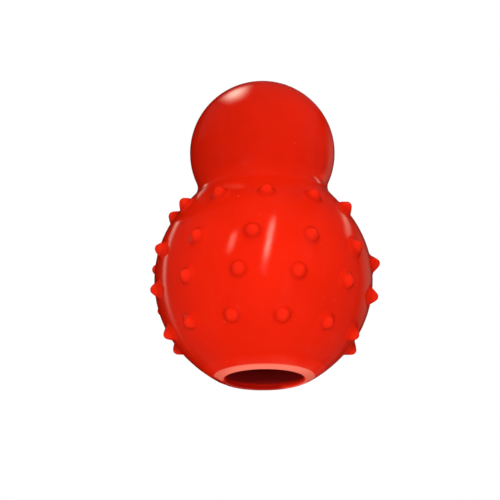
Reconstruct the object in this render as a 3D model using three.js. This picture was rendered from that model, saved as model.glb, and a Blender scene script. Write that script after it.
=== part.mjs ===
// A treat toy for dogs, moulded in red rubber: a hollow ball covered in chewing nubs, a round hollow
// head on top of it, and a fill hole underneath with a rim that the toy stands on.
// Millimetres and degrees, +Z up. The origin is the centre of the flat face under the rim, and the
// front is -Y.
import * as THREE from "three";

// Driving dimensions of the ball and the head
const BALL_RADIUS = 33;
const HEAD_RADIUS = 22.3;
const HEAD_RISE = 41.1; // from the ball's centre up to the head's centre
const SHOULDER_RADIUS = 100; // flatter curve that takes the ball up to the neck
const SHOULDER_CLEARANCE = 2.7; // latitude from the top row of nubs up to where that curve starts
const NECK_FILLET = 6; // hollow curve where the head runs into the shoulder
const UNDERSIDE_RADIUS = 42; // flatter curve that takes the ball down to the rim
const UNDERSIDE_START = 42; // latitude below the ball's widest place where that curve starts
const WALL = 6; // rubber thickness of ball, neck and head

// Driving dimensions of the fill hole and its rim
const BORE_DIAMETER = 23.5;
const RIM_WIDTH = 2.95; // from the fill hole to the middle of the rim's outer rounded edge
const RIM_LAND = 0.5; // width of the flat ring that the toy stands on
const RIM_SLOPE = 25; // rise of the rim's face, from the flat ring to its outer edge
const RIM_HEIGHT = 3; // from the flat ring up to where rim and ball are parted
const RIM_OUTER_ROUND = 0.6;
const RIM_INNER_ROUND = 0.8;
const RIM_ROUND_SHARE = 0.45; // the most of the rim's width that the inner rounded edge may take

// Driving dimensions of the nubs
const NUB_RADIUS = 2.6; // at its foot on the ball
const NUB_HEIGHT = 2.6; // from the ball's surface to the tip
const NUB_TIP_ROUND = 1.2;
const NUB_SEAT_GAP = 0.3; // between a nub's flat foot and the ball
const NUBS_IN_ROW = 11;
const FRONT_STEP = 30.5; // round the ball, from one of a row's front nubs to the next
const ROW_LEAN = 1.5; // the rows lie a little askew, lower at the right of the front
const TOP_ROW_LATITUDE = 35.3;

// The rows of nubs. The middle of a row's front nubs is turned to the right by so much, and its back nubs
// are spread evenly between the steps at the left and right side.
const NUB_ROWS = [
  { name: "shoulder", latitude: TOP_ROW_LATITUDE, frontNubs: 5, turn: 1.3, leftStep: 28, rightStep: 50 },
  { name: "upper", latitude: 9, frontNubs: 5, turn: -5.6, leftStep: 36.5, rightStep: 30.5 },
  { name: "lower", latitude: -10.6, frontNubs: 6, turn: 3, leftStep: 39, rightStep: 40 },
  { name: "under", latitude: -33.4, frontNubs: 6, turn: -3.1, leftStep: 35.5, rightStep: 35 },
];

// Fineness of the round surfaces: facets round an axis, and degrees of arc to a facet along an outline
const ROUND_SIDES = 40;
const NUB_SIDES = 10;
const OUTER_STEP = 7.5;
const INNER_STEP = 11;
const NECK_STEP = 15;
const EDGE_STEP = 30;
const ROUNDING_ERROR = 1e-6;

const HALF_TURN = Math.PI;
const QUARTER_TURN = Math.PI / 2;

// Sizes that follow from the driving dimensions. Points of a section through the axis are (radius, height).
const BORE_RADIUS = BORE_DIAMETER / 2;
const CAVITY_RADIUS = BALL_RADIUS - WALL;
const HEAD_CAVITY_RADIUS = HEAD_RADIUS - WALL;
const INNER_ROUND = Math.min(RIM_INNER_ROUND, RIM_WIDTH * RIM_ROUND_SHARE);
const INNER_EDGE = new THREE.Vector2(BORE_RADIUS + INNER_ROUND, INNER_ROUND);
const LAND_END = new THREE.Vector2(INNER_EDGE.x + RIM_LAND, 0);
const SLOPE = THREE.MathUtils.degToRad(RIM_SLOPE);
const RIM_EDGE = rimEdge();
const UNDERSIDE_ANGLE = -THREE.MathUtils.degToRad(UNDERSIDE_START);
const UNDERSIDE_SHIFT = pointAt(new THREE.Vector2(), BALL_RADIUS - UNDERSIDE_RADIUS, UNDERSIDE_ANGLE);
const EDGE_REACH = UNDERSIDE_RADIUS - RIM_OUTER_ROUND; // from the underside's centre to the rim's edge
const EDGE_ANGLE = -Math.acos((RIM_EDGE.x - UNDERSIDE_SHIFT.x) / EDGE_REACH);
const UNDERSIDE_CENTRE = new THREE.Vector2(UNDERSIDE_SHIFT.x, RIM_EDGE.y - EDGE_REACH * Math.sin(EDGE_ANGLE));
const BALL_CENTRE = UNDERSIDE_CENTRE.clone().sub(UNDERSIDE_SHIFT);
const HEAD_CENTRE = new THREE.Vector2(BALL_CENTRE.x, BALL_CENTRE.y + HEAD_RISE);
const SHOULDER_ANGLE = THREE.MathUtils.degToRad(TOP_ROW_LATITUDE + SHOULDER_CLEARANCE);
const SHOULDER_CENTRE = pointAt(BALL_CENTRE, BALL_RADIUS - SHOULDER_RADIUS, SHOULDER_ANGLE);
const NECK = neckCurve();
const SEAM_ANGLE = Math.asin((RIM_HEIGHT - UNDERSIDE_CENTRE.y) / UNDERSIDE_RADIUS);
const SEAM = pointAt(UNDERSIDE_CENTRE, UNDERSIDE_RADIUS, SEAM_ANGLE);

function pointAt(centre, radius, angle) {
  return new THREE.Vector2(centre.x + radius * Math.cos(angle), centre.y + radius * Math.sin(angle));
}

function direction(from, to) {
  return Math.atan2(to.y - from.y, to.x - from.x);
}

// The middle of the rim's outer rounded edge, which touches the sloping face.
function rimEdge() {
  const radius = BORE_RADIUS + RIM_WIDTH;
  const run = radius + RIM_OUTER_ROUND * Math.sin(SLOPE) - LAND_END.x;
  return new THREE.Vector2(radius, run * Math.tan(SLOPE) + RIM_OUTER_ROUND * Math.cos(SLOPE));
}

// The circle of the neck's hollow curve, which touches shoulder and head from outside, with the directions
// in which their centres see its centre. Its innermost point is the waist, where ball and head are parted.
function neckCurve() {
  const toShoulder = SHOULDER_RADIUS + NECK_FILLET;
  const toHead = HEAD_RADIUS + NECK_FILLET;
  const span = SHOULDER_CENTRE.distanceTo(HEAD_CENTRE);
  const turn = Math.acos((span ** 2 + toShoulder ** 2 - toHead ** 2) / (2 * span * toShoulder));
  const fromShoulder = direction(SHOULDER_CENTRE, HEAD_CENTRE) - turn;
  const centre = pointAt(SHOULDER_CENTRE, toShoulder, fromShoulder);
  return { centre, fromShoulder, fromHead: direction(HEAD_CENTRE, centre) };
}

// Points of an arc in a section, both ends included, with a facet for each step or part of one.
function arc(centre, radius, from, to, step) {
  const steps = Math.abs(THREE.MathUtils.radToDeg(to - from)) / step;
  const facets = Math.max(1, Math.ceil(steps - ROUNDING_ERROR));
  return Array.from({ length: facets + 1 }, (_, i) =>
    pointAt(centre, radius, from + ((to - from) * i) / facets),
  );
}

// A solid of revolution about Z. The outline runs anticlockwise with the axis on its left, and a point
// that rounding leaves just off the axis is put on it, so that a pole is one point.
function revolve(outline, sides) {
  outline.filter((point) => Math.abs(point.x) < ROUNDING_ERROR).forEach((point) => point.setX(0));
  return new THREE.LatheGeometry(outline, sides).rotateX(QUARTER_TURN);
}

function closed(outline) {
  return [...outline, outline[0].clone()];
}

function redRubber() {
  return new THREE.MeshStandardMaterial({ color: 0xe6200b, roughness: 0.36, metalness: 0 });
}

function piece(name, geometry) {
  const mesh = new THREE.Mesh(geometry, redRubber());
  mesh.name = name;
  return mesh;
}

// The ball's wall, from the seam with the rim to the waist. The bore goes through its bottom into the
// treat chamber.
function ballShell() {
  const boreAngle = -Math.acos(BORE_RADIUS / CAVITY_RADIUS);
  const neckStart = NECK.fromShoulder - HALF_TURN;
  const outline = [
    new THREE.Vector2(BORE_RADIUS, SEAM.y),
    ...arc(UNDERSIDE_CENTRE, UNDERSIDE_RADIUS, SEAM_ANGLE, UNDERSIDE_ANGLE, OUTER_STEP),
    ...arc(BALL_CENTRE, BALL_RADIUS, UNDERSIDE_ANGLE, 0, OUTER_STEP).slice(1),
    ...arc(BALL_CENTRE, BALL_RADIUS, 0, SHOULDER_ANGLE, OUTER_STEP).slice(1),
    ...arc(SHOULDER_CENTRE, SHOULDER_RADIUS, SHOULDER_ANGLE, NECK.fromShoulder, OUTER_STEP).slice(1),
    ...arc(NECK.centre, NECK_FILLET, neckStart, -HALF_TURN, NECK_STEP).slice(1),
    ...arc(NECK.centre, NECK_FILLET + WALL, -HALF_TURN, neckStart, NECK_STEP),
    ...arc(SHOULDER_CENTRE, SHOULDER_RADIUS - WALL, NECK.fromShoulder, SHOULDER_ANGLE, INNER_STEP).slice(1),
    ...arc(BALL_CENTRE, CAVITY_RADIUS, SHOULDER_ANGLE, boreAngle, INNER_STEP).slice(1),
  ];
  return piece("ball_shell", revolve(closed(outline), ROUND_SIDES));
}

// The head's wall, a dome that is open at the waist so that its hollow joins the treat chamber.
function headShell() {
  const neckEnd = NECK.fromHead + HALF_TURN;
  const outline = [
    ...arc(HEAD_CENTRE, HEAD_CAVITY_RADIUS, QUARTER_TURN, NECK.fromHead, INNER_STEP),
    ...arc(NECK.centre, NECK_FILLET + WALL, neckEnd, HALF_TURN, NECK_STEP).slice(1),
    ...arc(NECK.centre, NECK_FILLET, HALF_TURN, neckEnd, NECK_STEP),
    ...arc(HEAD_CENTRE, HEAD_RADIUS, NECK.fromHead, 0, OUTER_STEP).slice(1),
    ...arc(HEAD_CENTRE, HEAD_RADIUS, 0, QUARTER_TURN, OUTER_STEP).slice(1),
  ];
  return piece("head_shell", revolve(outline, ROUND_SIDES));
}

// The rim ends the ball's underside round the fill hole. It has a narrow flat ring to stand on, and from
// there its face slopes up to the outer edge.
function mouthRim() {
  const outline = [
    ...arc(INNER_EDGE, INNER_ROUND, -HALF_TURN, -QUARTER_TURN, EDGE_STEP),
    LAND_END.clone(),
    ...arc(RIM_EDGE, RIM_OUTER_ROUND, SLOPE - QUARTER_TURN, EDGE_ANGLE, EDGE_STEP),
    ...arc(UNDERSIDE_CENTRE, UNDERSIDE_RADIUS, EDGE_ANGLE, SEAM_ANGLE, OUTER_STEP).slice(1),
    new THREE.Vector2(BORE_RADIUS, SEAM.y),
  ];
  return piece("mouth_rim", revolve(closed(outline), ROUND_SIDES));
}

// A nub stands on its flat foot at z = 0: straight sides, tangent to a round tip.
function nubGeometry() {
  const tip = new THREE.Vector2(0, NUB_HEIGHT - NUB_SEAT_GAP - NUB_TIP_ROUND);
  const foot = new THREE.Vector2(NUB_RADIUS, 0);
  const sideAngle = direction(tip, foot) + Math.acos(NUB_TIP_ROUND / tip.distanceTo(foot));
  const outline = [
    new THREE.Vector2(0, 0),
    foot,
    ...arc(tip, NUB_TIP_ROUND, sideAngle, QUARTER_TURN, EDGE_STEP),
  ];
  return revolve(outline, NUB_SIDES);
}

// How far round each nub of a row stands, from the left of the front to the right and on round the back.
function nubTurns(row) {
  const frontSpan = (row.frontNubs - 1) * FRONT_STEP;
  const backNubs = NUBS_IN_ROW - row.frontNubs;
  const backStep = (360 - frontSpan - row.leftStep - row.rightStep) / (backNubs - 1);
  const left = row.turn - frontSpan / 2;
  const backStart = left + frontSpan + row.rightStep;
  return [
    ...Array.from({ length: row.frontNubs }, (_, i) => left + i * FRONT_STEP),
    ...Array.from({ length: backNubs }, (_, i) => backStart + i * backStep),
  ];
}

// A ring of nubs at one latitude, each square to the ball's surface.
function nubRow(row, geometry) {
  const seat = BALL_RADIUS + NUB_SEAT_GAP;
  const latitude = THREE.MathUtils.degToRad(row.latitude);
  const ring = new THREE.Group();
  ring.rotation.y = THREE.MathUtils.degToRad(ROW_LEAN);
  nubTurns(row).forEach((turn, i) => {
    const spoke = new THREE.Group();
    spoke.rotation.z = THREE.MathUtils.degToRad(turn);
    const nub = piece(`nub_${row.name}_${String(i + 1).padStart(2, "0")}`, geometry);
    nub.position.set(0, -seat * Math.cos(latitude), seat * Math.sin(latitude));
    nub.rotation.x = QUARTER_TURN - latitude;
    spoke.add(nub);
    ring.add(spoke);
  });
  return ring;
}

function nubs() {
  const group = new THREE.Group();
  group.position.z = BALL_CENTRE.y;
  const geometry = nubGeometry();
  NUB_ROWS.forEach((row) => group.add(nubRow(row, geometry)));
  return group;
}

const toy = new THREE.Group();
toy.add(ballShell(), headShell(), mouthRim(), nubs());

export default toy;
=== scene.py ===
"""Dresses a treat toy for dogs in red moulded rubber: a nubbed ball, a round head and a rimmed fill hole.

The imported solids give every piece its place. Each piece is turned from an outline or set on the ball by
bmesh operators, and stands for the solid of the same feature. Metres, +Z up, front towards -Y.
"""

import math

import bmesh
import bpy
from bpy.props import FloatProperty, FloatVectorProperty, IntProperty, PointerProperty
from mathutils import Matrix, Quaternion, Vector


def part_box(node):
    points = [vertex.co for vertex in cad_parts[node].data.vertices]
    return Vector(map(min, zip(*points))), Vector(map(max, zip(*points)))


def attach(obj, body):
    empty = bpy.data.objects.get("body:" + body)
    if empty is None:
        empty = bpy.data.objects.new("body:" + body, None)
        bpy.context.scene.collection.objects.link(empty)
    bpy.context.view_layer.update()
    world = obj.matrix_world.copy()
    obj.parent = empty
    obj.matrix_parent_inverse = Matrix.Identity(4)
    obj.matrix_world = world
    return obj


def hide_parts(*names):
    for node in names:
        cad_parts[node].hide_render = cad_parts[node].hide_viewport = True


bl_info = {
    "name": "Rubber treat toy",
    "version": (1, 0, 0),
    "blender": (4, 5, 0),
    "location": "View3D > Sidebar > Treat toy",
    "description": "Models the ball, head, rim and chewing nubs of a rubber treat toy, and lights them",
    "category": "Add Mesh",
}

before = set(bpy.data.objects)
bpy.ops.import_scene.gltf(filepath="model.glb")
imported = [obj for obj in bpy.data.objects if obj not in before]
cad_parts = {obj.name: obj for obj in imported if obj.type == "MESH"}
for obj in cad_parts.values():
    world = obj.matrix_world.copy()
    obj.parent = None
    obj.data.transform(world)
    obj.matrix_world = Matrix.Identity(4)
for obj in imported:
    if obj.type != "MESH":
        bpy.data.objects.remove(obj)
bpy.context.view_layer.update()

BODY = "root"
BODY_MATERIAL = "moulded_rubber"
RIM_MATERIAL = "rim_rubber"
NUB_MATERIAL = "nub_rubber"
MERGE_DISTANCE = 1e-7
SHARP_EDGE = math.radians(35)
SEAM_LOOP = 0.03  # share of a curve between the seam where it ends and the loop that keeps its shading true
QUARTER_TURN = math.pi / 2
BLACK = (0, 0, 0, 1)
WHITE = (1, 1, 1, 1)
WARM = (1, 0.95, 0.75, 1)

# A pair of values below says where a tone, a pattern or a fade starts and where it is full.
# Pattern of the rubber: how fine each noise is, between which of its values it shows, and what it changes.
CLOUD_SCALE = 70
CLOUD_RANGE = (0.3, 0.7)
CLOUD_ROUGHNESS = 0.06
SMEAR_SCALE = 240
SMEAR_RANGE = (0.52, 0.75)
SMEAR_TURN = (0.4, 0.6, 0.3)
SMEAR_STRETCH = (1, 1, 0.25)
SMEAR_SHARE = 0.015
SMEAR_ROUGHNESS = 0.08
SPECK_SCALE = 1100
SPECK_RANGE = (0.74, 0.8)
SPECK_SHARE = 0.25
SPECK_ROUGHNESS = 0.2
SPECK_RELIEF = 0.5
GRAIN_SCALE = 2600
GRAIN_DEPTH = 0.0002
# Painted shade: below these depths the fill hole and the chamber take the darker painted shade colour.
INSIDE_DEPTHS = (0.0004, 0.002)  # below the ball's surface
INSIDE_ROUGHNESS = 0.3

# Painted light on the nubs, by height above the ball's surface: painted shade round the foot and a painted
# highlight at the tip.
FOOT_SHADE_FULL = 0.0005
FOOT_SHADE_END = 0.0019
FOOT_SHADE_SHARE = 0.26
TIP_HIGHLIGHT_RANGE = (0.0008, 0.0019)
TIP_HIGHLIGHT_SHARE = 0.9

# Tones of the rim: a paler face, partly its own tone and partly a painted reflection, and painted shade low
# down at the back left.
# The pale face fades out away from the front right: that limit is a painted reflection.
PAINTED_LIGHT_TOWARDS = (0.469, -0.883, 0)  # the front right
PALE_REFLECTION_RANGE = (-0.0075, -0.0055)  # from the axis towards the front right; below zero is the back left
PALE_INSIDE = (0.0003, 0.0007)  # outwards from the fill hole
PALE_OUTSIDE = (0.0006, 0.0002)  # outwards from the middle of the rim's outer rounded edge
# Painted shade low down on the rim at the back left: where it starts and is full in that direction, its
# heights and its share.
BACK_SHADE_RANGE = (-0.0055, -0.0085)  # in the same direction
BACK_SHADE_HEIGHTS = (0.0014, 0.0006)
BACK_SHADE_SHARE = 0.85

# Stage and camera.
STAGE_SIDES = 64
FLOOR_RADIUS = 0.45
FLOOR_FADE = (0.14, 0.42)
FLOOR_COLOUR = (0.9, 0.9, 0.9, 1)
SURROUND_RADIUS = 3
SURROUND_FADE = (1, -2)  # from the ball towards the camera
RING_OUTER = (-0.4, 0.1)  # shares of the ring's radius, to its outer side
RING_UPPER = (-1, 0.5)  # shares of the ring's radius, upwards
COLLAR_GAP = 0.01  # the collar's distances are from the centre of the neck's hollow curve
COLLAR_BELOW = 0.004
COLLAR_ABOVE = 0.018
COLLAR_OPENING = (0.012, 0, 0)
COLLAR_OPENS_TOWARDS = (0.8, 0.6, 0)
SENSOR_WIDTH = 36  # millimetres
CLIP_START = 0.01


def half_width(node):
    """Half of a solid's width along X."""
    low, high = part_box(node)
    return (high.x - low.x) / 2


class ToySizes(bpy.types.PropertyGroup):
    """Sizes of the moulding, in metres."""

    ball_radius: FloatProperty(
        name="Ball radius", description="Outside of the ball", default=half_width("ball_shell"),
        min=0.02, precision=4, subtype="DISTANCE", unit="LENGTH",
    )
    head_radius: FloatProperty(
        name="Head radius", description="Outside of the head", default=half_width("head_shell"),
        min=0.012, precision=4, subtype="DISTANCE", unit="LENGTH",
    )
    shoulder_radius: FloatProperty(
        name="Shoulder radius", description="Flatter curve that takes the ball up to the neck", default=0.1,
        min=0.035, precision=4, subtype="DISTANCE", unit="LENGTH",
    )
    shoulder_start: FloatProperty(
        name="Shoulder start", description="Latitude above the ball's widest place where that curve starts",
        default=math.radians(38), min=0, max=math.radians(45), subtype="ANGLE", unit="ROTATION",
    )
    neck_fillet: FloatProperty(
        name="Neck fillet", description="Hollow curve where the head runs into the shoulder", default=0.006,
        min=0.001, precision=4, subtype="DISTANCE", unit="LENGTH",
    )
    underside_radius: FloatProperty(
        name="Underside radius", description="Flatter curve that takes the ball down to the rim",
        default=0.042, min=0.035, precision=4, subtype="DISTANCE", unit="LENGTH",
    )
    underside_start: FloatProperty(
        name="Underside start", description="Latitude below the ball's widest place where that curve starts",
        default=math.radians(42), min=0, max=math.radians(55), subtype="ANGLE", unit="ROTATION",
    )
    wall: FloatProperty(
        name="Wall", description="Thickness of the rubber", default=0.006,
        min=0.002, precision=4, subtype="DISTANCE", unit="LENGTH",
    )
    bore_radius: FloatProperty(
        name="Bore radius", description="Inside of the fill hole", default=0.01175,
        min=0.005, precision=5, subtype="DISTANCE", unit="LENGTH",
    )
    bore_round: FloatProperty(
        name="Bore edge", description="Rounding where the fill hole opens into the treat chamber",
        default=0.0012, min=0.0002, precision=4, subtype="DISTANCE", unit="LENGTH",
    )
    rim_width: FloatProperty(
        name="Rim width", description="From the fill hole to the middle of the rim's outer rounded edge",
        default=0.00295, min=0.001, precision=5, subtype="DISTANCE", unit="LENGTH",
    )
    rim_land: FloatProperty(
        name="Rim land", description="Width of the flat ring that the toy stands on", default=0.0005,
        min=0.0001, precision=4, subtype="DISTANCE", unit="LENGTH",
    )
    rim_slope: FloatProperty(
        name="Rim slope", description="Rise of the rim's face, from the flat ring to its outer edge",
        default=math.radians(25), min=0, max=math.radians(40), subtype="ANGLE", unit="ROTATION",
    )
    rim_outer_round: FloatProperty(
        name="Rim outer edge", description="Rounding of the rim's outer edge", default=0.0006,
        min=0.0002, precision=4, subtype="DISTANCE", unit="LENGTH",
    )
    rim_inner_round: FloatProperty(
        name="Rim inner edge", description="Rounding of the rim's edge at the fill hole", default=0.0008,
        min=0.0002, precision=4, subtype="DISTANCE", unit="LENGTH",
    )
    nub_height: FloatProperty(
        name="Nub height", description="From the ball's surface to a nub's tip", default=0.0026,
        min=0.0005, precision=4, subtype="DISTANCE", unit="LENGTH",
    )
    nub_radius: FloatProperty(
        name="Nub radius", description="At the foot, before the root curve is added", default=0.0028,
        min=0.001, precision=4, subtype="DISTANCE", unit="LENGTH",
    )
    nub_lean: FloatProperty(
        name="Nub lean", description="How far a nub's side leans in at its foot", default=math.radians(31),
        min=0, max=math.radians(45), subtype="ANGLE", unit="ROTATION",
    )
    nub_tip: FloatProperty(
        name="Nub tip radius", description="Rounding of a nub's tip", default=0.0015,
        min=0.0002, precision=4, subtype="DISTANCE", unit="LENGTH",
    )
    nub_root: FloatProperty(
        name="Nub root radius", description="Hollow curve from the ball into a nub's side", default=0.0018,
        min=0.0001, precision=4, subtype="DISTANCE", unit="LENGTH",
    )
    nub_depth: FloatProperty(
        name="Nub depth", description="How far a nub's hidden base lies inside the wall", default=0.0004,
        min=0.0001, precision=4, subtype="DISTANCE", unit="LENGTH",
    )
    round_sides: IntProperty(
        name="Sides", description="Faces round the ball, the head and the rim", default=144, min=24, max=512,
    )
    nub_sides: IntProperty(name="Nub sides", description="Faces round a nub", default=36, min=8, max=128)


class ToyFinish(bpy.types.PropertyGroup):
    """Colour and gloss of the rubber, with the painted shade and highlights in that colour."""

    colour: FloatVectorProperty(
        name="Rubber", description="The rubber's own red", default=(0.88, 0.0146, 0.0014),
        size=3, min=0, max=1, subtype="COLOR",
    )
    deep_colour: FloatVectorProperty(
        name="Deep tone", description="Red of the slightly darker clouds in the rubber",
        default=(0.83, 0.0132, 0.0011), size=3, min=0, max=1, subtype="COLOR",
    )
    # Painted shade: a darker red inside the fill hole and the chamber, and low down on the rim at the back
    # left, where little light falls.
    painted_shade_colour: FloatVectorProperty(
        name="Inside", description="The duller red inside the fill hole and the chamber",
        default=(0.34, 0.002, 0.0008), size=3, min=0, max=1, subtype="COLOR",
    )
    # Painted highlight: this brighter red at the nubs' tips stands in for light on them; the tips are not
    # rubbed paler.
    tip_highlight_colour: FloatVectorProperty(
        name="Nub tips", description="Brighter red of the rubbed tips of the nubs",
        default=(0.98, 0.02, 0.004), size=3, min=0, max=1, subtype="COLOR",
    )
    # Painted shade: this darker red round the feet of the nubs stands in for the shade where they meet the
    # ball.
    foot_shade_colour: FloatVectorProperty(
        name="Nub feet", description="Darker red round the feet of the nubs", default=(0.62, 0.007, 0.0006),
        size=3, min=0, max=1, subtype="COLOR",
    )
    # Partly the trimmed face's own paler tone and partly a painted reflection, which the rim's tones keep to
    # the front right.
    face_and_reflection_colour: FloatVectorProperty(
        name="Rim face", description="Paler red of the rim's trimmed face", default=(0.97, 0.156, 0.0978),
        size=3, min=0, max=1, subtype="COLOR",
    )
    dust_colour: FloatVectorProperty(
        name="Dust", description="Pale specks that cling to the rubber", default=(0.9, 0.06, 0.025),
        size=3, min=0, max=1, subtype="COLOR",
    )
    roughness: FloatProperty(
        name="Roughness", description="Gloss of clean rubber", default=0.11, min=0, max=1, subtype="FACTOR",
    )
    ior: FloatProperty(
        name="Refractive index", description="Strength of the reflections", default=1.5, min=1, max=2,
    )
    grain: FloatProperty(
        name="Grain", description="Strength of the fine moulded grain", default=0.08,
        min=0, max=1, subtype="FACTOR",
    )


class ToyStage(bpy.types.PropertyGroup):
    """Camera and light."""

    camera_distance: FloatProperty(
        name="Camera distance", description="From the ball's centre", default=0.65,
        min=0.2, subtype="DISTANCE", unit="LENGTH",
    )
    camera_elevation: FloatProperty(
        name="Camera elevation", description="Below zero, the camera looks up at the fill hole",
        default=math.radians(-17), subtype="ANGLE", unit="ROTATION",
    )
    ball_pixel: FloatVectorProperty(
        name="Ball in the picture", description="Pixel of the ball's centre, right and down",
        default=(263.2, 280.9), size=2,
    )
    ball_pixel_radius: FloatProperty(
        name="Ball's size in the picture", description="Radius of the ball's outline in pixels",
        default=109.2, min=1, subtype="PIXEL",
    )
    camera_roll: FloatProperty(
        name="Camera roll", description="Turn about the line of sight that leans the toy to its left",
        default=math.radians(0.4), subtype="ANGLE", unit="ROTATION",
    )
    picture_size: IntProperty(
        name="Picture", description="Width and height in pixels", default=500, min=16, subtype="PIXEL",
    )
    ambient: FloatProperty(
        name="Room light", description="Light that reaches the toy from all round", default=0.52, min=0,
    )
    front_glow: FloatProperty(
        name="Front surround", description="Brightness in the gloss of what lies behind the camera",
        default=0.015, min=0,
    )
    back_glow: FloatProperty(
        name="Back surround", description="Brightness in the gloss of what lies behind the toy",
        default=0.05, min=0,
    )


def meeting_point(first, first_reach, second, second_reach):
    """The point outside the line from first to second that lies at these distances from the two."""
    span = second - first
    along = (span.length_squared + first_reach**2 - second_reach**2) / (2 * span.length)
    aside = math.sqrt(first_reach**2 - along**2)
    ahead = span.normalized()
    return first + along * ahead + aside * Vector((ahead.y, -ahead.x))


def direction(angle):
    """Unit vector of an angle in the section, from X towards Z."""
    return Vector((math.cos(angle), math.sin(angle)))


def angle_from(centre, point):
    """Direction of a point from a centre in the section, from X towards Z."""
    offset = point - centre
    return math.atan2(offset.y, offset.x)


class Figure:
    """The moulding's section: centres of its curves as (radius, height), and where one runs into the next."""

    def __init__(self, sizes):
        slope = sizes.rim_slope
        self.land_end = sizes.bore_radius + sizes.rim_inner_round + sizes.rim_land
        edge_x = sizes.bore_radius + sizes.rim_width
        edge_run = edge_x + sizes.rim_outer_round * math.sin(slope) - self.land_end
        self.edge = Vector((edge_x, edge_run * math.tan(slope) + sizes.rim_outer_round * math.cos(slope)))
        self.head = Vector((0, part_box("head_shell")[1].z - sizes.head_radius))
        shift = (sizes.ball_radius - sizes.underside_radius) * direction(-sizes.underside_start)
        edge_reach = sizes.underside_radius - sizes.rim_outer_round
        self.underside_end = -math.acos((self.edge.x - shift.x) / edge_reach)
        self.underside = Vector((shift.x, self.edge.y - edge_reach * math.sin(self.underside_end)))
        self.ball = self.underside - shift
        seam_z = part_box("mouth_rim")[1].z
        self.seam_angle = math.asin((seam_z - self.underside.y) / sizes.underside_radius)
        self.seam = self.underside + sizes.underside_radius * direction(self.seam_angle)
        rise = (sizes.ball_radius - sizes.shoulder_radius) * direction(sizes.shoulder_start)
        self.shoulder = self.ball + rise
        self.neck = meeting_point(
            self.shoulder, sizes.shoulder_radius + sizes.neck_fillet,
            self.head, sizes.head_radius + sizes.neck_fillet,
        )
        self.neck_on_shoulder = angle_from(self.shoulder, self.neck)
        self.neck_on_head = angle_from(self.head, self.neck)
        self.centre = Vector((0, 0, self.ball.y))


class Outline:
    """A section in the XZ plane, drawn like a pen stroke: a vertex is pulled or swung and leaves edges."""

    def __init__(self, x, z):
        self.mesh = bmesh.new()
        self.pen = self.mesh.verts.new((x, 0, z))
        self.start = self.pen.co.copy()

    def line(self, x, z):
        """Pulls the pen straight to a point."""
        self.pen = bmesh.ops.extrude_vert_indiv(self.mesh, verts=[self.pen])["verts"][0]
        self.pen.co = (x, 0, z)

    def swing(self, centre, turn, steps):
        """Swings the pen about a centre; a positive turn goes from X towards Z."""
        swung = bmesh.ops.spin(
            self.mesh, geom=[self.pen], cent=(centre.x, 0, centre.y), axis=(0, -1, 0),
            angle=turn, steps=steps,
        )
        self.pen = next(part for part in swung["geom_last"] if isinstance(part, bmesh.types.BMVert))

    def close(self):
        """Draws the last line back to where the pen started."""
        self.line(self.start.x, self.start.z)
        bmesh.ops.remove_doubles(self.mesh, verts=self.mesh.verts, dist=MERGE_DISTANCE)

    def turn(self, sides):
        """Turns the whole stroke about Z and returns the closed surface."""
        bmesh.ops.spin(
            self.mesh, geom=self.mesh.verts[:] + self.mesh.edges[:], cent=(0, 0, 0), axis=(0, 0, 1),
            angle=2 * math.pi, steps=sides, use_merge=True,
        )
        bmesh.ops.remove_doubles(self.mesh, verts=self.mesh.verts, dist=MERGE_DISTANCE)
        bmesh.ops.recalc_face_normals(self.mesh, faces=self.mesh.faces)
        return self.mesh


def finish_piece(mesh, name, node, material):
    """Makes a piece of the toy from a finished bmesh, in place of the solid of that node."""
    data = bpy.data.meshes.new(name)
    mesh.to_mesh(data)
    mesh.free()
    data.shade_smooth()
    data.set_sharp_from_angle(angle=SHARP_EDGE)
    data.materials.append(material)
    piece = bpy.data.objects.new(name, data)
    bpy.context.scene.collection.objects.link(piece)
    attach(piece, BODY)
    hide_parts(node)


class Wire:
    """A node's output. Arithmetic on it adds Math nodes to its tree."""

    def __init__(self, tree, socket):
        self.tree = tree
        self.socket = socket

    def math(self, operation, *values):
        """A Math node of these values."""
        return add_node(self.tree, "ShaderNodeMath", {"operation": operation}, dict(enumerate(values)))

    def __add__(self, other):
        return self.math("ADD", self, other)

    def __radd__(self, other):
        return self.math("ADD", other, self)

    def __sub__(self, other):
        return self.math("SUBTRACT", self, other)

    def __rsub__(self, other):
        return self.math("SUBTRACT", other, self)

    def __mul__(self, other):
        return self.math("MULTIPLY", self, other)

    def __rmul__(self, other):
        return self.math("MULTIPLY", other, self)

    def __abs__(self):
        return self.math("ABSOLUTE", self)

    def rise(self, low, high):
        """0 up to low, 1 from high on, and smooth between; low may be the larger one."""
        return add_node(
            self.tree, "ShaderNodeMapRange", {"interpolation_type": "SMOOTHSTEP"},
            {"Value": self, "From Min": low, "From Max": high},
        )


def add_node(tree, kind, settings=None, inputs=None, output=0):
    """Adds a node: first its settings, then the values or wires of its sockets. Returns an output, if any."""
    node = tree.nodes.new(kind)
    for name, value in (settings or {}).items():
        setattr(node, name, value)
    for name, value in (inputs or {}).items():
        if isinstance(value, Wire):
            tree.links.new(value.socket, node.inputs[name])
        else:
            node.inputs[name].default_value = value
    return Wire(tree, node.outputs[output]) if node.outputs else None


def mix_colours(tree, factor, first, second):
    """A colour between two others."""
    # A Mix node has sockets of the same name for each kind of data, so those for colours go by number.
    return add_node(tree, "ShaderNodeMix", {"data_type": "RGBA"}, {0: factor, 6: first, 7: second}, output=2)


def opaque(colour):
    """A colour property with an alpha of 1."""
    return (*colour, 1)


def object_place(tree):
    """Where a point of the surface lies on its object."""
    return add_node(tree, "ShaderNodeTexCoord", output="Object")


def coordinate(tree, place, axis):
    """A place's X, Y or Z."""
    return add_node(tree, "ShaderNodeSeparateXYZ", inputs={0: place}, output=axis)


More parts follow.
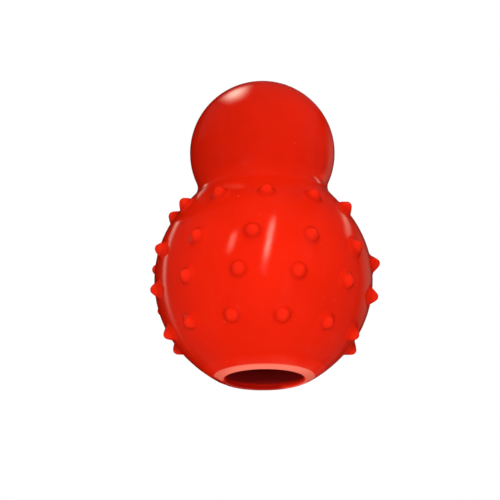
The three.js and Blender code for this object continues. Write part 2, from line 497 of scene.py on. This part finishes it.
def measure(tree, operation, place, other):
    """A length that Vector Math gives for a place and another vector."""
    vectors = {0: place, 1: other}
    return add_node(tree, "ShaderNodeVectorMath", {"operation": operation}, vectors, output="Value")


def distance_from(tree, place, point):
    """Distance of a place from a point."""
    return measure(tree, "DISTANCE", place, point)


def new_tree(name):
    """An empty material and its node tree."""
    material = bpy.data.materials.new(name)
    material.use_nodes = True
    material.node_tree.nodes.clear()
    return material, material.node_tree


def end_surface(tree, shader):
    """Joins a shader to the material's output."""
    add_node(tree, "ShaderNodeOutputMaterial", inputs={"Surface": shader})


def nub_painted_light(tree, place, red):
    """The rubber's red on the nubs, with painted shade round the foot and a painted highlight at the tip."""
    sizes = bpy.context.scene.toy_sizes
    finish = bpy.context.scene.toy_finish
    height = distance_from(tree, place, Figure(sizes).centre) - sizes.ball_radius
    # Painted shade round the foot of the nub.
    foot = height.rise(0, FOOT_SHADE_FULL) * height.rise(FOOT_SHADE_END, FOOT_SHADE_FULL)
    # Painted highlight on the tip of the nub.
    tip = height.rise(*TIP_HIGHLIGHT_RANGE)
    shaded = mix_colours(tree, FOOT_SHADE_SHARE * foot, red, opaque(finish.foot_shade_colour))
    return mix_colours(tree, TIP_HIGHLIGHT_SHARE * tip, shaded, opaque(finish.tip_highlight_colour))


def rim_face_and_painted_light(tree, place, red):
    """The rubber's red on the rim: paler on the face, partly its own trimmed tone and partly a painted
    reflection kept to the front right, and painted shade low down at the back left.
    """
    sizes = bpy.context.scene.toy_sizes
    finish = bpy.context.scene.toy_finish
    level = add_node(tree, "ShaderNodeVectorMath", {"operation": "MULTIPLY"}, {0: place, 1: (1, 1, 0)})
    radius = distance_from(tree, level, Vector())
    past_hole = radius - sizes.bore_radius
    past_edge = radius - Figure(sizes).edge.x
    face = past_hole.rise(*PALE_INSIDE) * past_edge.rise(*PALE_OUTSIDE)
    ahead = measure(tree, "DOT_PRODUCT", place, PAINTED_LIGHT_TOWARDS)
    # Painted shade low down at the back left of the rim.
    back_shade = coordinate(tree, place, "Z").rise(*BACK_SHADE_HEIGHTS) * ahead.rise(*BACK_SHADE_RANGE)
    shaded = mix_colours(tree, BACK_SHADE_SHARE * back_shade, red, opaque(finish.painted_shade_colour))
    # Partly the face's own paler tone, partly a painted reflection that shows only towards the front right.
    return mix_colours(tree, face * ahead.rise(*PALE_REFLECTION_RANGE), shaded, opaque(finish.face_and_reflection_colour))


def red_rubber(name, tones=None):
    """Glossy red rubber with faint clouds, smears of handling, a few specks, a fine moulded grain and painted
    shade inside the fill hole and the chamber.
    """
    ready = bpy.data.materials.get(name)
    if ready:
        return ready
    sizes = bpy.context.scene.toy_sizes
    finish = bpy.context.scene.toy_finish
    material, tree = new_tree(name)
    place = object_place(tree)

    def noise(vector, scale, detail):
        """A noise of this fineness."""
        return add_node(
            tree, "ShaderNodeTexNoise", inputs={"Vector": vector, "Scale": scale, "Detail": detail},
        )

    clouds = noise(place, CLOUD_SCALE, detail=3)
    slanted = add_node(
        tree, "ShaderNodeMapping", inputs={"Vector": place, "Rotation": SMEAR_TURN, "Scale": SMEAR_STRETCH},
    )
    smears = noise(slanted, SMEAR_SCALE, detail=4).rise(*SMEAR_RANGE)
    specks = noise(place, SPECK_SCALE, detail=1).rise(*SPECK_RANGE)
    grain = noise(place, GRAIN_SCALE, detail=2)
    depth = sizes.ball_radius - distance_from(tree, place, Figure(sizes).centre)
    inside = depth.rise(*INSIDE_DEPTHS)
    clouded = mix_colours(tree, clouds.rise(*CLOUD_RANGE), opaque(finish.deep_colour), opaque(finish.colour))
    dust = SPECK_SHARE * specks + SMEAR_SHARE * smears
    dusty = mix_colours(tree, dust, clouded, opaque(finish.dust_colour))
    # Painted shade inside the fill hole and the chamber.
    red = mix_colours(tree, inside, dusty, opaque(finish.painted_shade_colour))
    if tones:
        red = tones(tree, place, red)
    handled = CLOUD_ROUGHNESS * (clouds - 0.5) + SMEAR_ROUGHNESS * smears
    relief = grain + SPECK_RELIEF * specks
    bump = add_node(
        tree, "ShaderNodeBump", inputs={"Strength": finish.grain, "Distance": GRAIN_DEPTH, "Height": relief},
    )
    shader = add_node(
        tree, "ShaderNodeBsdfPrincipled",
        inputs={
            "Base Color": red,
            "Roughness": finish.roughness + handled + SPECK_ROUGHNESS * specks + INSIDE_ROUGHNESS * inside,
            "IOR": finish.ior,
            "Normal": bump,
        },
    )
    end_surface(tree, shader)
    return material


class TOY_OT_ball(bpy.types.Operator):
    """Turns the hollow ball, from the rim to the waist"""

    bl_idname = "toy.ball"
    bl_label = "Ball"

    def execute(self, context):
        sizes = context.scene.toy_sizes
        figure = Figure(sizes)
        cavity = sizes.ball_radius - sizes.wall
        bore_angle = -math.acos(sizes.bore_radius / cavity)
        bore_top = figure.ball.y + cavity * math.sin(bore_angle)
        neck_turn = figure.neck_on_shoulder
        underside_turn = -sizes.underside_start - figure.seam_angle
        outline = Outline(sizes.bore_radius, figure.seam.y)
        outline.line(*figure.seam)
        outline.swing(figure.underside, underside_turn * SEAM_LOOP, steps=1)
        outline.swing(figure.underside, underside_turn * (1 - SEAM_LOOP), steps=8)
        outline.swing(figure.ball, sizes.shoulder_start + sizes.underside_start, steps=40)
        outline.swing(figure.shoulder, neck_turn - sizes.shoulder_start, steps=6)
        outline.swing(figure.neck, -neck_turn * (1 - SEAM_LOOP), steps=12)
        outline.swing(figure.neck, -neck_turn * SEAM_LOOP, steps=1)
        outline.line(figure.neck.x - sizes.neck_fillet - sizes.wall, figure.neck.y)
        outline.swing(figure.neck, neck_turn, steps=10)
        outline.swing(figure.shoulder, sizes.shoulder_start - neck_turn, steps=3)
        outline.swing(figure.ball, bore_angle - sizes.shoulder_start, steps=30)
        outline.close()
        mesh = outline.turn(sizes.round_sides)
        corners = {v for v in mesh.verts if self.on_bore_edge(v, sizes.bore_radius, bore_top)}
        edge = [e for e in mesh.edges if corners.issuperset(e.verts)]
        if len(edge) != sizes.round_sides:
            raise RuntimeError("the edge where the fill hole opens into the chamber was not found")
        bmesh.ops.bevel(
            mesh, geom=edge, offset=sizes.bore_round, affect="EDGES", segments=4, profile=0.5, material=-1,
        )
        finish_piece(mesh, "ball", "ball_shell", red_rubber(BODY_MATERIAL))
        return {"FINISHED"}

    @staticmethod
    def on_bore_edge(vertex, radius, height):
        """Whether a vertex lies on the circle of this radius at this height."""
        near = 1e-5
        return abs(vertex.co.xy.length - radius) < near and abs(vertex.co.z - height) < near


class TOY_OT_head(bpy.types.Operator):
    """Turns the hollow head, from the waist to its top"""

    bl_idname = "toy.head"
    bl_label = "Head"

    def execute(self, context):
        sizes = context.scene.toy_sizes
        figure = Figure(sizes)
        neck_turn = figure.neck_on_head
        outline = Outline(0, figure.head.y + sizes.head_radius - sizes.wall)
        outline.swing(figure.head, neck_turn - QUARTER_TURN, steps=28)
        outline.swing(figure.neck, -neck_turn, steps=6)
        outline.line(figure.neck.x - sizes.neck_fillet, figure.neck.y)
        outline.swing(figure.neck, neck_turn * SEAM_LOOP, steps=1)
        outline.swing(figure.neck, neck_turn * (1 - SEAM_LOOP), steps=8)
        outline.swing(figure.head, QUARTER_TURN - neck_turn, steps=46)
        finish_piece(outline.turn(sizes.round_sides), "head", "head_shell", red_rubber(BODY_MATERIAL))
        return {"FINISHED"}


class TOY_OT_rim(bpy.types.Operator):
    """Turns the rim of the fill hole: the flat ring that the toy stands on, its sloping face and its edges"""

    bl_idname = "toy.rim"
    bl_label = "Rim"

    def execute(self, context):
        sizes = context.scene.toy_sizes
        figure = Figure(sizes)
        inner = Vector((sizes.bore_radius + sizes.rim_inner_round, sizes.rim_inner_round))
        face_angle = sizes.rim_slope - QUARTER_TURN
        underside_turn = figure.seam_angle - figure.underside_end
        outline = Outline(sizes.bore_radius, figure.seam.y)
        outline.line(sizes.bore_radius, inner.y)
        outline.swing(inner, QUARTER_TURN, steps=8)
        outline.line(figure.land_end, 0)
        outline.line(*(figure.edge + sizes.rim_outer_round * direction(face_angle)))
        outline.swing(figure.edge, figure.underside_end - face_angle, steps=8)
        outline.swing(figure.underside, underside_turn * (1 - SEAM_LOOP), steps=4)
        outline.swing(figure.underside, underside_turn * SEAM_LOOP, steps=1)
        outline.close()
        finish_piece(outline.turn(sizes.round_sides), "rim", "mouth_rim", red_rubber(RIM_MATERIAL, rim_face_and_painted_light))
        return {"FINISHED"}


class TOY_OT_nubs(bpy.types.Operator):
    """Sets a chewing nub on the ball for each solid nub: a round tip, full sides and a soft root"""

    bl_idname = "toy.nubs"
    bl_label = "Nubs"

    def execute(self, context):
        sizes = context.scene.toy_sizes
        centre = Figure(sizes).centre
        pattern = self.turn_nub(sizes)
        nodes = [name for name in sorted(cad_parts) if name.startswith("nub_")]
        if not nodes:
            raise RuntimeError("the frame has no nubs")
        for node in nodes:
            corners = [vertex.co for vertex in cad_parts[node].data.vertices]
            axis = (sum(corners, Vector()) / len(corners) - centre).normalized()
            nub = pattern.copy()
            turn = Vector((0, 0, 1)).rotation_difference(axis).to_matrix().to_4x4()
            bmesh.ops.transform(nub, matrix=Matrix.Translation(centre) @ turn, verts=nub.verts)
            finish_piece(nub, f"chew_{node}", node, red_rubber(NUB_MATERIAL, nub_painted_light))
        pattern.free()
        return {"FINISHED"}

    @staticmethod
    def turn_nub(sizes):
        """A nub that stands along Z, with the ball's centre at the origin."""
        ball = Vector((0, 0))
        tip = Vector((0, sizes.ball_radius + sizes.nub_height - sizes.nub_tip))
        foot = Vector((sizes.nub_radius, math.sqrt(sizes.ball_radius**2 - sizes.nub_radius**2)))
        # The side is one arc: it starts at the foot with the given lean and runs into the tip's arc.
        outwards = direction(sizes.nub_lean)
        reach = foot - tip
        side_radius = (reach.length_squared - sizes.nub_tip**2) / (2 * (reach.dot(outwards) - sizes.nub_tip))
        side = foot - side_radius * outwards
        root = meeting_point(
            ball, sizes.ball_radius + sizes.nub_root, side, side_radius + sizes.nub_root,
        )
        root_on_ball = angle_from(ball, root)
        root_on_side = angle_from(side, root)
        tip_on_side = angle_from(side, tip)
        outline = Outline(0, sizes.ball_radius - sizes.nub_depth)
        outline.line(*(sizes.ball_radius * direction(root_on_ball)))
        outline.swing(root, root_on_side - root_on_ball, steps=5)
        outline.swing(side, tip_on_side - root_on_side, steps=6)
        outline.swing(tip, QUARTER_TURN - tip_on_side, steps=6)
        return outline.turn(sizes.nub_sides)


class View:
    """The ball's centre, which lamps and cards face, and the right, up and back of the photo's camera."""

    def __init__(self, centre, elevation):
        self.centre = centre
        self.right = Vector((1, 0, 0))
        self.back = Vector((0, -math.cos(elevation), math.sin(elevation)))
        self.up = self.back.cross(self.right)

    def facing(self, towards, distance, lean=0):
        """Where a card stands: its middle lies that way, its length points up and leans by these degrees."""
        outwards = (towards[0] * self.right + towards[1] * self.up + towards[2] * self.back).normalized()
        across = self.up.cross(outwards).normalized()
        turn = Matrix((across, outwards.cross(across), outwards)).transposed()
        leaned = turn @ Matrix.Rotation(math.radians(lean), 3, "Z")
        return Matrix.Translation(self.centre + distance * outwards) @ leaned.to_4x4()


def add_stage_piece(mesh, name, material, matrix):
    """An object that belongs to the stage and not to the toy."""
    data = bpy.data.meshes.new(name)
    mesh.to_mesh(data)
    mesh.free()
    data.materials.append(material)
    piece = bpy.data.objects.new(name, data)
    piece.matrix_world = matrix
    bpy.context.scene.collection.objects.link(piece)
    return piece


def add_gloss_piece(mesh, name, material, matrix, receivers=None):
    """A stage object that shows only in reflections, on these pieces or on all of them."""
    piece = add_stage_piece(mesh, name, material, matrix)
    piece.light_linking.receiver_collection = receivers
    piece.visible_camera = False
    piece.visible_diffuse = False
    piece.visible_transmission = False
    piece.visible_volume_scatter = False
    piece.visible_shadow = False


def end_glow(material, colour, glow):
    """Lets a stage material glow in this colour. The gloss sees it, but it isn't sampled as a lamp."""
    tree = material.node_tree
    end_surface(tree, add_node(tree, "ShaderNodeEmission", inputs={"Color": colour, "Strength": glow}))
    material.cycles.emission_sampling = "NONE"


def add_card(view, name, towards, distance, size, glow, fade, receivers, lean=0):
    """A soft bright card. Its size, and the shares of it that fade, are given across and along."""
    material, tree = new_tree(name)
    place = object_place(tree)
    across = abs(coordinate(tree, place, "X")).rise(1, 1 - fade[0])
    along = abs(coordinate(tree, place, "Y")).rise(1, 1 - fade[1])
    end_glow(material, mix_colours(tree, across * along, BLACK, WARM), glow)
    card = bmesh.new()
    bmesh.ops.create_grid(card, x_segments=1, y_segments=1, size=1)
    scale = Matrix.Diagonal((size[0] / 2, size[1] / 2, 1, 1))
    add_gloss_piece(card, name, material, view.facing(towards, distance, lean) @ scale, receivers)


def add_ring(view, name, towards, distance, radius, width, glow, receivers):
    """The outer half of a soft bright ring that fades downwards, for a thin curved line in the gloss."""
    material, tree = new_tree(name)
    place = object_place(tree)
    band = abs(distance_from(tree, place, Vector()) - radius).rise(width / 2, 0)
    outer = (coordinate(tree, place, "X") * (1 / radius)).rise(*RING_OUTER)
    upper = (coordinate(tree, place, "Y") * (1 / radius)).rise(*RING_UPPER)
    end_glow(material, mix_colours(tree, band * outer * upper, BLACK, WARM), glow)
    ring = bmesh.new()
    bmesh.ops.create_circle(ring, cap_ends=True, segments=STAGE_SIDES, radius=radius + width / 2)
    add_gloss_piece(ring, name, material, view.facing(towards, distance), receivers)


def add_collar(figure):
    """A black collar round the neck, open at the back right, that keeps the front cards out of its gloss."""
    material = new_tree("black_collar")[0]
    end_glow(material, BLACK, 0)
    radius = figure.neck.x + COLLAR_GAP
    collar = Outline(radius, figure.neck.y - COLLAR_BELOW)
    collar.line(radius, figure.neck.y + COLLAR_ABOVE)
    mesh = collar.turn(STAGE_SIDES)
    bmesh.ops.bisect_plane(
        mesh, geom=mesh.verts[:] + mesh.edges[:] + mesh.faces[:], plane_co=COLLAR_OPENING,
        plane_no=COLLAR_OPENS_TOWARDS, clear_outer=True,
    )
    add_gloss_piece(mesh, "neck_collar", material, Matrix())


def add_surround(view, stage):
    """A tent round the toy, for the gloss at its edges: nearly black in front and dark grey at the back."""
    material, tree = new_tree("grey_surround")
    ahead = measure(tree, "DOT_PRODUCT", object_place(tree), view.back)
    front = opaque([stage.front_glow] * 3)
    back = opaque([stage.back_glow] * 3)
    end_glow(material, mix_colours(tree, ahead.rise(*SURROUND_FADE), front, back), 1)
    tent = bmesh.new()
    bmesh.ops.create_uvsphere(tent, u_segments=32, v_segments=16, radius=SURROUND_RADIUS)
    add_gloss_piece(tent, "surround", material, Matrix.Translation(view.centre))


def add_floor():
    """A pale floor that is seen from above only, because the camera looks up at the toy from below it."""
    material, tree = new_tree("pale_floor")
    reach = distance_from(tree, object_place(tree), Vector())
    below = add_node(tree, "ShaderNodeNewGeometry", output="Backfacing")
    gone = below.math("MAXIMUM", below, reach.rise(*FLOOR_FADE))
    paper = add_node(tree, "ShaderNodeBsdfDiffuse", inputs={"Color": FLOOR_COLOUR})
    nothing = add_node(tree, "ShaderNodeBsdfTransparent")
    end_surface(tree, add_node(tree, "ShaderNodeMixShader", inputs={0: gone, 1: paper, 2: nothing}))
    floor = bmesh.new()
    bmesh.ops.create_circle(floor, cap_ends=True, segments=STAGE_SIDES, radius=FLOOR_RADIUS)
    piece = add_stage_piece(floor, "floor", material, Matrix())
    piece.visible_diffuse = False
    piece.visible_glossy = False
    piece.visible_transmission = False
    piece.visible_shadow = False


def add_lamp(view, name, towards, distance, width, power, spread=180, drop=0, receivers=None):
    """A square lamp for these pieces or for all, which stays out of the gloss.

    A small spread, in degrees, narrows its beam. A drop lowers the lamp and the point that it aims at.
    """
    lamp = bpy.data.lights.new(name, "AREA")
    lamp.shape = "SQUARE"
    lamp.size = width
    lamp.energy = power
    lamp.spread = math.radians(spread)
    stand = bpy.data.objects.new(name, lamp)
    stand.matrix_world = Matrix.Translation(-drop * view.up) @ view.facing(towards, distance)
    stand.visible_glossy = False
    stand.visible_camera = False
    stand.light_linking.receiver_collection = receivers
    bpy.context.scene.collection.objects.link(stand)


def gather(name, pieces):
    """A collection of these pieces, for a lamp or a card that shines on them alone."""
    collection = bpy.data.collections.new(name)
    for piece in pieces:
        collection.objects.link(bpy.data.objects[piece])
    return collection


def set_world(stage):
    """White wherever it is seen, and a plain even room light on the toy."""
    world = bpy.data.worlds.new("room")
    world.use_nodes = True
    tree = world.node_tree
    tree.nodes.clear()
    camera = add_node(tree, "ShaderNodeLightPath", output="Is Camera Ray")
    glossy = add_node(tree, "ShaderNodeLightPath", output="Is Glossy Ray")
    through = add_node(tree, "ShaderNodeLightPath", output="Is Transmission Ray")
    seen = camera.math("MINIMUM", camera + glossy + through, 1)
    strength = stage.ambient + (1 - stage.ambient) * seen
    room = add_node(tree, "ShaderNodeBackground", inputs={"Color": WHITE, "Strength": strength})
    add_node(tree, "ShaderNodeOutputWorld", inputs={"Surface": room})
    bpy.context.scene.world = world


def add_camera(view, stage, ball_radius):
    """The photo's camera, aimed so that the ball falls on its pixel at its size."""
    distance = stage.camera_distance
    focal_pixels = stage.ball_pixel_radius * math.sqrt(distance**2 - ball_radius**2) / ball_radius
    metres_per_pixel = distance / focal_pixels
    middle = stage.picture_size / 2
    aside = (middle - stage.ball_pixel[0]) * metres_per_pixel
    above = (stage.ball_pixel[1] - middle) * metres_per_pixel
    target = view.centre + aside * view.right + above * view.up
    eye = view.centre + distance * view.back
    data = bpy.data.cameras.new("camera")
    data.sensor_width = SENSOR_WIDTH
    data.lens = SENSOR_WIDTH * focal_pixels / stage.picture_size
    data.clip_start = CLIP_START
    camera = bpy.data.objects.new("camera", data)
    camera.location = eye
    aim = (target - eye).to_track_quat("-Z", "Y")
    camera.rotation_euler = (aim @ Quaternion((0, 0, 1), -stage.camera_roll)).to_euler()
    bpy.context.scene.collection.objects.link(camera)
    bpy.context.scene.camera = camera


class TOY_OT_stage(bpy.types.Operator):
    """Sets up the floor, the lamps, the cards that show in the gloss, and the camera"""

    bl_idname = "toy.stage"
    bl_label = "Stage"

    def execute(self, context):
        stage = context.scene.toy_stage
        sizes = context.scene.toy_sizes
        figure = Figure(sizes)
        view = View(figure.centre, stage.camera_elevation)
        context.scene.view_settings.view_transform = "Standard"
        set_world(stage)
        add_floor()
        add_surround(view, stage)
        add_collar(figure)
        self.add_lights(view)
        add_camera(view, stage, sizes.ball_radius)
        return {"FINISHED"}

    @staticmethod
    def add_lights(view):
        """The lamps, and the cards and the ring for the gloss, each with its direction (right, up, back)."""
        head = gather("head_alone", ["head"])
        ball = gather("ball_alone", ["ball"])
        rim = gather("rim_alone", ["rim"])
        lower = gather("ball_and_rim", ["ball", "rim"])
        shell = gather("all_but_nubs", ["ball", "head", "rim"])
        add_lamp(view, "front_lamp", (0, 0.2, 1), distance=0.5, width=0.06, power=0.016, spread=18, drop=0.01)
        add_lamp(view, "under_lamp", (0, -0.95, -0.1), distance=0.8, width=0.5, power=1.9)
        add_lamp(view, "top_lamp", (0.2, 1, 0.2), distance=0.8, width=0.5, power=1.5)
        add_lamp(view, "rim_lamp", (0.15, -0.85, -0.45), distance=0.8, width=0.5, power=2.3, receivers=rim)
        add_lamp(view, "head_lamp", (0.9, 0.4, 0.2), distance=0.8, width=0.4, power=0.7, receivers=head)
        add_card(
            view, "front_strip", (0.096, 0.67, 0.736), distance=0.5, size=(0.038, 0.64), lean=-14,
            glow=13.5, fade=(0.9, 0.9), receivers=ball,
        )
        add_card(
            view, "left_glint", (-0.492, 0.618, 0.613), distance=0.5, size=(0.05, 0.26), lean=1,
            glow=5, fade=(0.9, 0.8), receivers=ball,
        )
        add_card(
            view, "head_box", (-0.313, 0.819, -0.481), distance=0.5, size=(0.22, 0.44), lean=-42,
            glow=5.4, fade=(1, 1), receivers=head,
        )
        add_card(
            view, "right_strip", (0.675, 0.431, -0.599), distance=0.5, size=(0.08, 0.32), lean=-88,
            glow=1.2, fade=(0.9, 0.6), receivers=ball,
        )
        add_card(
            view, "right_back", (0.64, 0, -0.77), distance=0.9, size=(0.8, 0.8),
            glow=0.22, fade=(0.9, 0.9), receivers=shell,
        )
        add_card(
            view, "rim_glow", (0.06, -0.95, -0.3), distance=0.5, size=(0.5, 0.7),
            glow=0.75, fade=(0.5, 1), receivers=rim,
        )
        add_ring(
            view, "left_ring", (-0.435, -0.108, -0.894), distance=0.43, radius=0.255, width=0.11,
            glow=1.5, receivers=lower,
        )


class TOY_PT_panel(bpy.types.Panel):
    """Lists the toy's sizes, finish, stage and steps"""

    bl_idname = "TOY_PT_panel"
    bl_label = "Treat toy"
    bl_space_type = "VIEW_3D"
    bl_region_type = "UI"
    bl_category = "Treat toy"

    def draw(self, context):
        for title, group in (("Sizes", "toy_sizes"), ("Finish", "toy_finish"), ("Stage", "toy_stage")):
            box = self.layout.box()
            box.label(text=title)
            settings = getattr(context.scene, group)
            for name in settings.__annotations__:
                box.prop(settings, name)
        for step in STEPS:
            self.layout.operator(step.bl_idname)


GROUPS = {"toy_sizes": ToySizes, "toy_finish": ToyFinish, "toy_stage": ToyStage}
STEPS = (TOY_OT_ball, TOY_OT_head, TOY_OT_rim, TOY_OT_nubs, TOY_OT_stage)


def register():
    """Adds the settings, the steps and the panel to Blender."""
    for name, group in GROUPS.items():
        bpy.utils.register_class(group)
        setattr(bpy.types.Scene, name, PointerProperty(type=group))
    for step in STEPS:
        bpy.utils.register_class(step)
    bpy.utils.register_class(TOY_PT_panel)


def unregister():
    """Takes the panel, the steps and the settings out of Blender again."""
    bpy.utils.unregister_class(TOY_PT_panel)
    for step in reversed(STEPS):
        bpy.utils.unregister_class(step)
    for name, group in reversed(GROUPS.items()):
        delattr(bpy.types.Scene, name)
        bpy.utils.unregister_class(group)


def main():
    """Models the toy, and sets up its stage."""
    register()
    bpy.ops.toy.ball()
    bpy.ops.toy.head()
    bpy.ops.toy.rim()
    bpy.ops.toy.nubs()
    bpy.ops.toy.stage()


if __name__ == "__main__":
    main()
